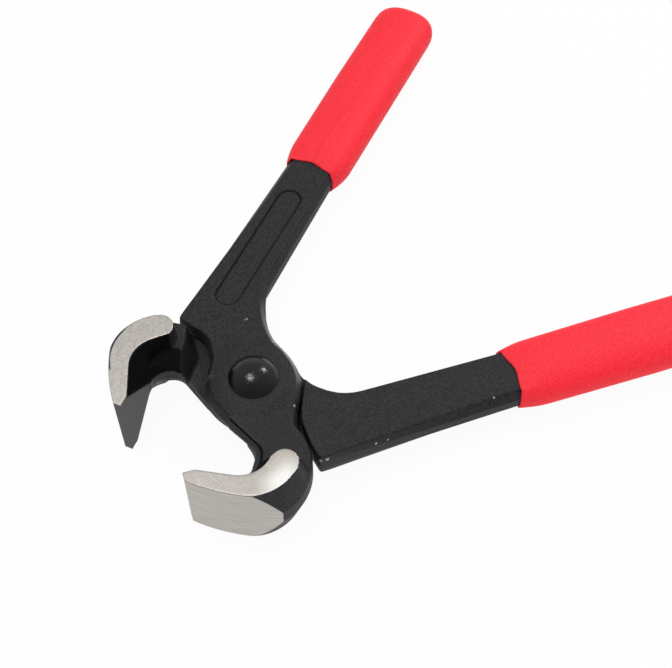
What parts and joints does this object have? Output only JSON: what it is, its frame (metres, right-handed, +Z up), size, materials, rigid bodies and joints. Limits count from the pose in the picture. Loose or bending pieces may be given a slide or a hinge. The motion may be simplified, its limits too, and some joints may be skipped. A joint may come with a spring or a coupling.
{
  "type": "end cutting nippers",
  "caption": "End cutting nippers: crossed black forged levers on a domed rivet, with curved jaws ground bright that close edge to edge across the front, and red plastic sleeves on the handles.",
  "frame": {"origin": "middle of the box round the open tool, on the plane of its underside, where the lower cheeks of the jaws rest", "axes": "+X from the jaws towards the handle ends, along the line that the edges close on; +Y towards the upper lever's handle; +Z up, along the rivet"},
  "size_m": [0.1779, 0.1796, 0.024],
  "materials": {
    "upper_lever": "black phosphate over forged steel, jaws ground bright",
    "lower_lever": "black phosphate over forged steel, jaws ground bright",
    "rivet": "black, satin gloss",
    "grip": "fine granular matte"
  },
  "bodies": {
    "upper": {"upper_lever": "upper_lever", "pivot_rivet": "rivet", "upper_grip": "grip"},
    "lower": {"lower_lever": "lower_lever", "lower_grip": "grip"}
  },
  "joints": [
    {"name": "jaw_pivot", "type": "hinge", "parent": "upper", "child": "lower", "pos_m": [-0.05293, 0, 0.012], "axis": [0, 0, 1], "range_deg": [0, 42]}
  ]
}
